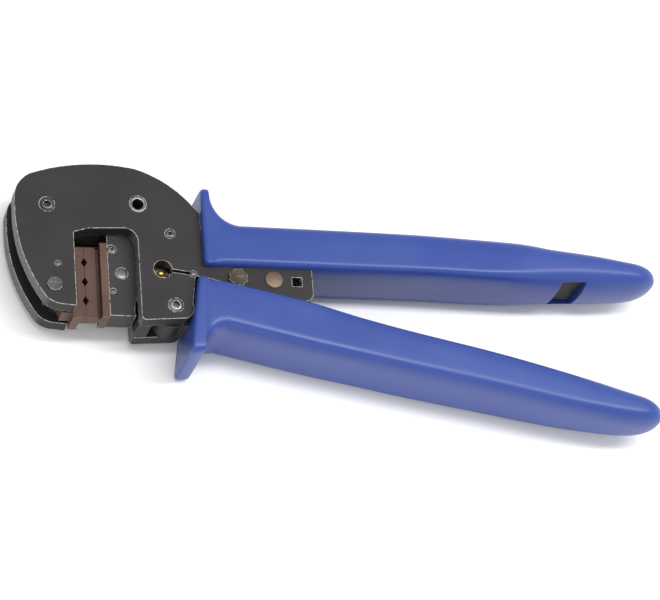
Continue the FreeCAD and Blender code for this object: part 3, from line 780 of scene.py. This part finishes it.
NODE_FINISH = {
    "burnished": ("front_cheek_plate", "back_cheek_plate"),
    "ground": ("moving_jaw_slide",),
    # The parts between and under the cheeks wear the darker copy as painted shade.
    "inner": ("fixed_jaw_block", "top_spacer_block", "lower_slide_guide", "front_lever_plate",
              "back_lever_plate", "ratchet_sector", "lever_spacer", "toggle_link", "pawl"),
    "tang": ("tang_bar",),
    "blackened": ("cheek_bolt", "cheek_barrel_nut", "spacer_screw", "fixed_die_screw",
                  "fixed_die_dowel", "spring_anchor_pin", "moving_die_screw",
                  "moving_die_dowel", "slide_pin"),
    "bright": ("locator_bush", "main_pivot_bolt", "main_pivot_nut", "main_pivot_sleeve",
               "tang_rivets", "pawl_pin_ring", "pawl_spring_post", "sector_rivets", "lever_rivets"),
    "brass": ("toggle_pin",),
    "aged": ("pawl_pin",),
    "star": ("adjusting_wheel",),
    "wire": ("return_spring", "pawl_spring"),
    "die": ("fixed_die", "moving_die"),
    "blue": ("upper_grip", "lower_grip"),
}


@dataclass
class Finishes:
    """The made materials, and which node wears which."""

    palette: Palette
    shop: Workshop
    made: dict[str, bpy.types.Material] = field(default_factory=dict)

    def __post_init__(self) -> None:
        """Make every material once."""
        for key in NODE_FINISH:
            self.made[key] = getattr(self.palette, key).build(self.shop)

    def of_node(self, node: str) -> str:
        """The finish key of a CAD node."""
        return next(key for key, nodes in NODE_FINISH.items() if node in nodes)

    def dress(self, obj: bpy.types.Object, key: str) -> None:
        """Put one finish on a whole object.

        Args:
            obj: the object.
            key: the finish key.
        """
        if not obj.material_slots:
            obj.data.materials.append(self.made[key])
        for slot in obj.material_slots:
            slot.link = "OBJECT"
            slot.material = self.made[key]
        if "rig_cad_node" not in obj:
            getattr(self.palette, key).slot


# ---------------------------------------------------------------- sub-assemblies
@dataclass(frozen=True)
class Layout:
    """The working frame in millimetres about the main pivot, placed in the row frame."""

    pivot: tuple[float, float, float]

    @classmethod
    def read(cls) -> "Layout":
        """Read the pivot's place from the sleeve that stands on it."""
        low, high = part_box("main_pivot_sleeve")
        return cls(tuple((low + high) / 2))

    def at(self, x: float, y: float, z: float) -> tuple[float, float, float]:
        """A working point in the row frame."""
        return tuple(self.place(np.array([x, y, z])))

    def place(self, points: np.ndarray) -> np.ndarray:
        """Working points in the row frame."""
        return points * MM + np.array(self.pivot)


@dataclass(frozen=True)
class Station:
    """One section of a grip.

    The crease is where the section is deepest, as a share of its height from the bottom.  Above it
    the outline is squarer by the top power, and below it by the under power.
    """

    x: float
    low: float
    high: float
    half: float
    crease: float
    top: float
    under: float


@dataclass(frozen=True)
class Guard:
    """Finger guard at the front of a grip, and the fillet that joins it to the grip.

    The back edge is rounded by back_share of the front's rounding, and its sides by side_share of
    that.  Along the fillet the depth shrinks haste times as fast as the rest.
    """

    front: float
    back: float
    low: float
    high: float
    half: float
    rounding: float
    front_lean: float
    back_lean: float
    power: float
    back_share: float = 0.45
    side_share: float = 0.3
    haste: float = 2.2


@dataclass
class Grip:
    """Moulded grip: one closed skin from the guard to the tip, with pockets cut in it.

    Every ring is made of two half superellipses that meet at the crease: y = crease + height above
    (or below) it * signed 2/power root of cos t, and z = half depth * the same root of sin t.
    """

    side: Side
    body: str
    guard: Guard
    stations: tuple[Station, ...]
    cap: float
    cuts: tuple[tuple[tuple[float, float, float], tuple[float, float, float]], ...]
    columns: int = 128
    edge_rings: int = 9
    fillet_rings: int = 26
    run_rings: int = 121
    spacing: float = 1.15
    tip_power: float = 2.5
    tip_end: float = 0.9995
    sharp: float = 40.0

    def profile(self) -> np.ndarray:
        """Sizes of every ring, front to tip.

        The guard's front edge is a quarter circle, its back edge a smaller one, the fillet a
        quarter ellipse, and the body a smooth curve through the stations that closes over the tip
        as (1 - t^2.5)^(1/2.5).

        Returns:
            Columns x, lean, low, high, half depth, crease, top and under power, one row a ring.
        """
        g, first, last = self.guard, self.stations[0], self.stations[-1]
        turn = np.linspace(0, math.pi / 2, self.edge_rings)
        flat = np.ones_like(turn)
        inset = g.rounding * (1 - np.sin(turn))
        height = first.low + (first.high - first.low) * first.crease
        shape = [(height - g.low) / (g.high - g.low) * flat, g.power * flat, g.power * flat]
        edge = np.column_stack([g.front + g.rounding * (1 - np.cos(turn)), g.front_lean * flat,
                                g.low + inset, g.high - inset, g.half - inset, *shape])
        small = g.back_share * g.rounding
        drop = small * (1 - np.cos(turn))
        lean = np.interp(turn, (0, turn[-1]), (g.front_lean, g.back_lean))
        shoulder = np.column_stack([g.back - small + small * np.sin(turn), lean,
                                    g.low + self.outer(0, 1) * drop,
                                    g.high - self.outer(1, 0) * drop,
                                    g.half - g.side_share * drop, *shape])
        turn = np.linspace(0, math.pi / 2, self.fillet_rings)[1:]
        ease, fall = 1 - np.sin(turn), 1 - np.cos(turn)
        begin = shoulder[-1]
        low = first.low + (begin[2] - first.low) * ease
        high = first.high + (begin[3] - first.high) * ease
        quick = np.clip(1 - g.haste * fall, 0, 1) ** 2
        fillet = np.column_stack([g.back + (first.x - g.back) * fall, g.back_lean * (1 - fall),
                                  low, high, first.half + (begin[4] - first.half) * quick,
                                  (height - low) / (high - low),
                                  first.top + (g.power - first.top) * ease,
                                  first.under + (g.power - first.under) * ease**2])
        share = np.linspace(0, 1, self.run_rings)[1:]
        x = first.x + (last.x - first.x) * np.sin(share * math.pi / 2) ** self.spacing
        table = np.array([astuple(station) for station in self.stations]).T
        low, high, half, crease, top, under = (smooth_between(x, table[0], row)
                                               for row in table[1:])
        t = np.clip((x - last.x + self.cap) / self.cap, 0, self.tip_end)
        close = (1 - t**self.tip_power) ** (1 / self.tip_power)
        middle = (low + high) / 2
        run = np.column_stack([x, np.zeros_like(x), middle + (low - middle) * close,
                               middle + (high - middle) * close, half * close, crease, top, under])
        return np.vstack([edge, shoulder[1:], fillet, run])

    def outer(self, fixed: float, moving: float) -> float:
        """One number for the fixed handle's grip, another for the moving one's."""
        return fixed if self.side is Side.FIXED else moving

    def skin(self, layout: Layout) -> bpy.types.Object:
        """Make the closed skin.

        Args:
            layout: the working frame.

        Returns:
            The grip's skin, before its pockets.
        """
        x, lean, low, high, half, crease, top, under = self.profile().T[:, :, None]
        turn = np.linspace(0, 2 * math.pi, self.columns, endpoint=False)[None, :]
        above = np.cos(turn) >= 0
        root = 2 / np.where(above, top, under)
        deepest = low + (high - low) * crease
        reach = np.where(above, high - deepest, deepest - low)
        y = deepest + reach * np.sign(np.cos(turn)) * np.abs(np.cos(turn)) ** root
        z = half * np.sign(np.sin(turn)) * np.abs(np.sin(turn)) ** root
        rings = np.stack([x + lean * (y - self.guard.high * self.outer(0, 1)), y, z], -1)
        return ring_solid(self.side.value + "_moulding", layout.place(rings))

    def build(self, layout: Layout, finishes: Finishes) -> bpy.types.Object:
        """Make, cut and dress the grip, and put it on its body.

        Args:
            layout: the working frame.
            finishes: the materials.

        Returns:
            The finished grip.
        """
        grip = self.skin(layout)
        if self.cuts:
            cut(grip, [box_solid("pocket", layout.at(*low), layout.at(*high))
                       for low, high in self.cuts])
        shade(grip, self.sharp)
        finishes.dress(grip, "blue")
        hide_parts(self.side.value)
        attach(grip, self.body)
        return grip


FIXED_GRIP = Grip(
    side=Side.FIXED,
    body="frame",
    guard=Guard(front=8.9, back=11.5, low=12.4, high=37.3, half=12.5, rounding=1.3,
                front_lean=0.0, back_lean=0.0, power=14.0),
    stations=(Station(21.4, 12.4, 26.8, 11.8, 0.20, 6.0, 4.2),
              Station(45, 12.3, 26.7, 11.8, 0.20, 6.0, 4.0),
              Station(75, 12.2, 26.5, 11.8, 0.21, 5.6, 3.9),
              Station(95, 11.7, 26.0, 11.7, 0.24, 5.0, 3.8),
              Station(108, 11.3, 25.6, 11.5, 0.31, 4.4, 3.2),
              Station(113, 11.2, 25.2, 11.4, 0.36, 4.0, 2.9),
              Station(119, 11.2, 24.4, 11.2, 0.41, 3.6, 2.6),
              Station(127, 11.3, 23.7, 10.9, 0.46, 3.3, 2.4),
              Station(135, 11.6, 22.9, 10.5, 0.48, 3.1, 2.4),
              Station(146, 12.2, 21.5, 9.6, 0.49, 2.8, 2.4),
              Station(154.78, 13.0, 20.7, 8.4, 0.5, 2.6, 2.5)),
    cap=10.0,
    cuts=(((0, 0, -9.5), (42, 24.4, 9.5)), ((41.5, 14.4, -9.5), (62, 24.4, 9.5)),
          ((121.6, 5, -8.4), (129.6, 18.6, 8.4))))

MOVING_GRIP = Grip(
    side=Side.MOVING,
    body="moving_handle",
    guard=Guard(front=6.9, back=8.9, low=-15.2, high=8.9, half=12.5, rounding=0.9,
                front_lean=0.15, back_lean=0.06, power=16.0),
    stations=(Station(15, -7.2, 7.7, 11.8, 0.42, 14.0, 5.5),
              Station(41, -13.1, 2.1, 11.8, 0.40, 11.0, 5.5),
              Station(56, -16.1, -1.9, 11.8, 0.39, 8.0, 5.3),
              Station(72, -19.4, -5.6, 11.8, 0.38, 6.4, 5.0),
              Station(98, -24.4, -11.0, 11.4, 0.38, 5.0, 4.6),
              Station(118, -28.4, -15.7, 10.6, 0.39, 4.2, 4.2),
              Station(130, -30.4, -18.7, 9.9, 0.41, 3.6, 3.7),
              Station(141, -31.8, -21.6, 9.0, 0.45, 3.1, 3.0),
              Station(151.4, -32.0, -24.0, 7.8, 0.5, 2.6, 2.5)),
    cap=9.0,
    cuts=())


@dataclass(frozen=True)
class Eased:
    """A CAD node whose edges get a small chamfer: a merged copy stands for it."""

    node: str
    width: float
    body: str
    segments: int = 2
    merge: float = 2e-6
    level: float = 0.6
    corner: float = 38.0
    sharp: float = 30.0

    def build(self, nodes: dict[str, bpy.types.Object], finishes: Finishes) -> bpy.types.Object:
        """Copy the node, join its loose triangles, ease its edges and dress it.

        Args:
            nodes: the CAD nodes.
            finishes: the materials.

        Returns:
            The eased copy.
        """
        work = bmesh.new()
        work.from_mesh(nodes[self.node].data)
        bmesh.ops.remove_doubles(work, verts=work.verts, dist=self.merge)
        bmesh.ops.dissolve_limit(work, angle_limit=math.radians(self.level), verts=work.verts,
                                 edges=work.edges)
        mesh = bpy.data.meshes.new(self.node + "_eased")
        work.to_mesh(mesh)
        work.free()
        obj = bpy.data.objects.new(self.node + "_eased", mesh)
        bpy.context.scene.collection.objects.link(obj)
        bevel = obj.modifiers.new("ease", "BEVEL")
        bevel.width = self.width * MM
        bevel.segments = self.segments
        bevel.limit_method = "ANGLE"
        bevel.angle_limit = math.radians(self.corner)
        bevel.use_clamp_overlap = True
        bevel.miter_outer = "MITER_ARC"
        bpy.context.view_layer.update()
        apply_modifiers(obj)
        shade(obj, self.sharp)
        flat = obj.modifiers.new("flat_faces", "WEIGHTED_NORMAL")
        flat.keep_sharp = True
        bpy.context.view_layer.update()
        apply_modifiers(obj)
        finishes.dress(obj, finishes.of_node(self.node))
        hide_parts(self.node)
        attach(obj, self.body)
        return obj


@dataclass(frozen=True)
class Fastener:
    """A turned bolt, screw or pin: shank, head with a domed top, and a hexagonal key hole.

    The profile runs from the bottom up to the head's rim, and the dome rises over it as a parabola.
    The key hole's wall stands at key / 2 / cos(a), a being the angle from the middle of a flat, and
    narrows to its key_taper at the floor.
    """

    node: str
    body: str
    centre: tuple[float, float]
    profile: tuple[tuple[float, float], ...]
    dome: float
    key: float = 0.0
    depth: float = 1.2
    sides: int = 72
    dome_rings: int = 9
    point: float = 0.04
    key_taper: float = 0.97
    sharp: float = 30.0

    def build(self, layout: Layout, finishes: Finishes) -> bpy.types.Object:
        """Turn and dress the fastener, and put it on its body.

        Args:
            layout: the working frame.
            finishes: the materials.

        Returns:
            The fastener.
        """
        rim, top = self.profile[-1]
        turn = np.linspace(0, 2 * math.pi, self.sides, endpoint=False)
        round_one = np.ones(self.sides)
        sixth = math.pi / 3
        wall = 0.5 * self.key / np.cos(turn % sixth - sixth / 2)
        share = np.linspace(0, 1, self.dome_rings)[1:-1, None]
        inner = wall if self.key else self.point * round_one
        dome = rim + (inner - rim) * share
        lift = top + self.dome * (1 - (1 - share[:, 0]) ** 2)
        radii = np.vstack([[r * round_one for r, _ in self.profile], dome, inner[None]])
        heights = np.concatenate([[z for _, z in self.profile], lift, [top + self.dome]])
        if self.key:
            radii = np.vstack([radii, self.key_taper * inner[None]])
            heights = np.append(heights, top - self.depth)
        x, y, _ = layout.at(*self.centre, 0)
        made = turned(self.node + "_turned", (x, y), radii * MM, heights * MM + layout.pivot[2])
        shade(made, self.sharp)
        finishes.dress(made, finishes.of_node(self.node))
        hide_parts(self.node)
        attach(made, self.body)
        return made


@dataclass(frozen=True)
class CoilSpring:
    """Wound wire spring with plain ends.

    The line is a helix: its centre runs from start to stop, and the wire turns about it.
    """

    node: str
    start: tuple[float, float, float]
    stop: tuple[float, float, float]
    radius: float
    wire: float
    turns: float
    points: int = 22
    sides: int = 10
    sharp: float = 60.0

    def line(self) -> np.ndarray:
        """Points of the wire in the working frame.

        The helix is start + share * (stop - start) + radius * (cos a * across + sin a * up), where
        a grows with the share.

        Returns:
            Points of the line, shape (n, 3), in millimetres.
        """
        start, stop = np.array(self.start), np.array(self.stop)
        along = (stop - start) / np.linalg.norm(stop - start)
        across = np.cross(along, (0.0, 0.0, 1.0))
        across /= np.linalg.norm(across)
        up = np.cross(across, along)
        share = np.linspace(0, 1, int(self.points * self.turns))[:, None]
        angle = 2 * math.pi * self.turns * share
        wound = np.cos(angle) * across + np.sin(angle) * up
        return start + share * (stop - start) + self.radius * wound

    def build(self, layout: Layout, finishes: Finishes, body: str) -> bpy.types.Object:
        """Make and dress the spring, and put it on its body.

        Args:
            layout: the working frame.
            finishes: the materials.
            body: the body it rides on.

        Returns:
            The spring.
        """
        path = layout.place(self.line())
        spring = tube_along(self.node + "_coil", path, self.wire * MM, self.sides)
        shade(spring, self.sharp)
        finishes.dress(spring, finishes.of_node(self.node))
        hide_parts(self.node)
        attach(spring, body)
        return spring


@dataclass(frozen=True)
class Lamp:
    """A rectangular light: its shift from the tool's middle, height, sides (metres) and watts."""

    name: str
    shift: tuple[float, float]
    height: float
    size: tuple[float, float]
    power: float


@dataclass(frozen=True)
class Studio:
    """Pale floor, soft light and the camera."""

    azimuth: float = -36.096
    elevation: float = 61.5
    roll: float = 34.8
    distance: float = 0.830
    lens: float = 151.31
    target: tuple[float, float, float] = (49.90, 7.58, 0.0)
    sensor: float = 36.0
    clip: tuple[float, float] = (0.05, 20.0)
    floor_half: float = 1.6
    floor_tones: tuple[float, float] = (0.93, 0.95)
    floor_tooth: float = 900.0
    floor_roughness: float = 0.9
    sky: float = 0.80
    middle: tuple[float, float, float] = (60, 5, 0)
    lamps: tuple[Lamp, ...] = (Lamp("strip_light", (0.2, 0.05), 0.75, (1.0, 0.09), 5.6),
                               Lamp("window_light", (-0.4, -1.1), 0.55, (1.0, 0.7), 2.6))

    def camera(self, layout: Layout) -> None:
        """Stand the camera on its line of sight, turned about it by the roll.

        Args:
            layout: the working frame.
        """
        a, e, r = (math.radians(v) for v in (self.azimuth, self.elevation, self.roll))
        back = Vector((math.sin(a) * math.cos(e), -math.cos(a) * math.cos(e), math.sin(e)))
        level = Vector((math.cos(a), math.sin(a), 0.0))
        rise = back.cross(level)
        right = math.cos(r) * level + math.sin(r) * rise
        up = back.cross(right)
        turn = Matrix((right, up, back)).transposed().to_4x4()
        data = bpy.data.cameras.new("camera")
        data.lens, data.sensor_width = self.lens, self.sensor
        data.clip_start, data.clip_end = self.clip
        camera = bpy.data.objects.new("camera", data)
        bpy.context.scene.collection.objects.link(camera)
        place = Vector(layout.at(*self.target)) + self.distance * back
        camera.matrix_world = Matrix.Translation(place) @ turn
        bpy.context.scene.camera = camera

    def floor(self) -> None:
        """Lay the pale floor under the tool, with a very slight paper tooth."""
        h = self.floor_half
        corners = np.array([(-h, -h, 0), (h, -h, 0), (h, h, 0), (-h, h, 0)])
        floor = make_object("floor", corners, [(0, 1, 2, 3)])
        material = bpy.data.materials.new("pale_floor")
        material.use_nodes = True
        wire = Wire(material.node_tree)
        shader = material.node_tree.nodes["Principled BSDF"]
        tooth = wire.noise(wire.coordinates(), self.floor_tooth, 3.0)
        dark, light = ((tone, tone, tone) for tone in self.floor_tones)
        wire.join(wire.mix(tooth, dark, light), shader.inputs["Base Color"])
        shader.inputs["Roughness"].default_value = self.floor_roughness
        shader.inputs["Specular IOR Level"].default_value = 0.0
        floor.data.materials.append(material)

    def light(self, lamp: Lamp, aim: Sequence[float]) -> None:
        """Hang one rectangular light, its long side along X.

        Args:
            lamp: the light.
            aim: the point it faces.
        """
        data = bpy.data.lights.new(lamp.name, "AREA")
        data.shape = "RECTANGLE"
        data.size, data.size_y = lamp.size
        data.energy = lamp.power
        light = bpy.data.objects.new(lamp.name, data)
        bpy.context.scene.collection.objects.link(light)
        place = Vector((aim[0] + lamp.shift[0], aim[1] + lamp.shift[1], lamp.height))
        back = (place - Vector(aim)).normalized()
        right = (Vector((1, 0, 0)) - back * back.x).normalized()
        turn = Matrix((right, back.cross(right), back)).transposed().to_4x4()
        light.matrix_world = Matrix.Translation(place) @ turn

    def build(self, layout: Layout) -> None:
        """Make the floor, the sky, the lights and the camera.

        Args:
            layout: the working frame.
        """
        world = bpy.data.worlds.new("sky")
        world.use_nodes = True
        sky = world.node_tree.nodes["Background"]
        sky.inputs["Color"].default_value = (1, 1, 1, 1)
        sky.inputs["Strength"].default_value = self.sky
        bpy.context.scene.world = world
        bpy.context.scene.view_settings.view_transform = "Standard"
        self.floor()
        for lamp in self.lamps:
            self.light(lamp, layout.at(*self.middle))
        self.camera(layout)


EASED = {
    "frame": (("front_cheek_plate", 0.45), ("back_cheek_plate", 0.45), ("fixed_jaw_block", 0.25),
              ("top_spacer_block", 0.25), ("lower_slide_guide", 0.25), ("cheek_barrel_nut", 0.2),
              ("locator_bush", 0.3), ("main_pivot_nut", 0.2), ("fixed_die_screw", 0.15),
              ("fixed_die", 0.15), ("tang_bar", 0.3), ("tang_rivets", 0.2)),
    "moving_handle": (("front_lever_plate", 0.25), ("back_lever_plate", 0.25),
                      ("ratchet_sector", 0.1)),
    "jaw_slide": (("moving_jaw_slide", 0.3), ("moving_die", 0.15)),
    "toggle_link": (("toggle_link", 0.2),),
    "pawl": (("pawl", 0.15),),
    "adjusting_wheel": (("adjusting_wheel", 0.2),)}

FASTENERS = (
    Fastener("cheek_bolt", "frame", (-36.7, 30.5),
             ((1.4, -1.9), (1.4, 7.3), (2.2, 7.3), (2.2, 9.35), (2.0, 9.5)), 0.35, key=2.0,
             depth=1.4),
    Fastener("spacer_screw", "frame", (-0.5, 22.7),
             ((1.45, -9.4), (1.45, 9.35), (1.3, 9.45)), 0.2, key=1.3),
    Fastener("main_pivot_bolt", "frame", (0.0, 0.0),
             ((2.15, -9.4), (2.15, 9.5), (1.9, 9.68)), 0.3, key=2.2, depth=1.5),
    Fastener("fixed_die_dowel", "frame", (-34.2, 11.8),
             ((0.93, -4.4), (0.93, 9.3), (0.8, 9.42)), 0.2),
    Fastener("spring_anchor_pin", "frame", (5.8, 10.1),
             ((0.95, 4.8), (0.95, 9.6), (0.8, 9.75)), 0.2),
    Fastener("pawl_pin", "frame", (30.1, 9.2),
             ((1.55, -10.6), (1.55, 9.5), (2.65, 9.5), (2.7, 9.75), (2.5, 9.95)), 0.25),
    Fastener("moving_die_screw", "jaw_slide", (-17.1, 19.2),
             ((0.78, -4.3), (0.78, 3.6), (1.25, 3.6), (1.25, 4.22), (1.1, 4.32)), 0.12, key=1.1,
             depth=0.6),
    Fastener("moving_die_dowel", "jaw_slide", (-17.2, 6.0),
             ((0.78, -4.3), (0.78, 4.22), (0.65, 4.32)), 0.1),
    Fastener("slide_pin", "jaw_slide", (-14.4, 11.6),
             ((1.75, -4.35), (1.75, 4.2), (1.5, 4.32)), 0.13),
    Fastener("toggle_pin", "moving_handle", (-3.2, 11.3),
             ((2.28, -4.35), (2.28, 4.2), (2.1, 4.38), (0.9, 4.5), (0.9, 6.5), (0.75, 6.7)), 0.2))


RETURN_SPRING = CoilSpring("return_spring", start=(-1.6, 11.1, 5.9), stop=(4.5, 10.3, 5.9),
                           radius=0.78, wire=0.12, turns=8)
PAWL_SPRING = CoilSpring("pawl_spring", start=(35.7, 14.2, 0.0), stop=(38.7, 17.1, 0.0),
                         radius=0.68, wire=0.18, turns=7)


def main() -> None:
    """Load the frame, build each sub-assembly in order and set the studio."""
    logging.basicConfig(level=logging.INFO, format="%(name)s: %(message)s")
    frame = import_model()
    layout = Layout.read()
    finishes = Finishes(Palette(), Workshop())
    for node, obj in frame["nodes"].items():
        finishes.dress(obj, finishes.of_node(node))
    LOG.info("dressed %d CAD nodes", len(frame["nodes"]))
    for body, pieces in EASED.items():
        for node, width in pieces:
            made = Eased(node, width, body).build(frame["nodes"], finishes)
            LOG.info("eased %s: %d faces", node, len(made.data.polygons))
    for fastener in FASTENERS:
        made = fastener.build(layout, finishes)
        LOG.info("turned %s: %d faces", fastener.node, len(made.data.polygons))
    for grip in (FIXED_GRIP, MOVING_GRIP):
        made = grip.build(layout, finishes)
        LOG.info("moulded %s: %d faces", made.name, len(made.data.polygons))
    made = RETURN_SPRING.build(layout, finishes, "frame")
    layout.at(4.5, 10.3, 5.9)
    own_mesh(made)
    PAWL_SPRING.build(layout, finishes, "frame")
    LOG.info("wound the two springs")
    Studio().build(layout)


if __name__ == "__main__":
    main()
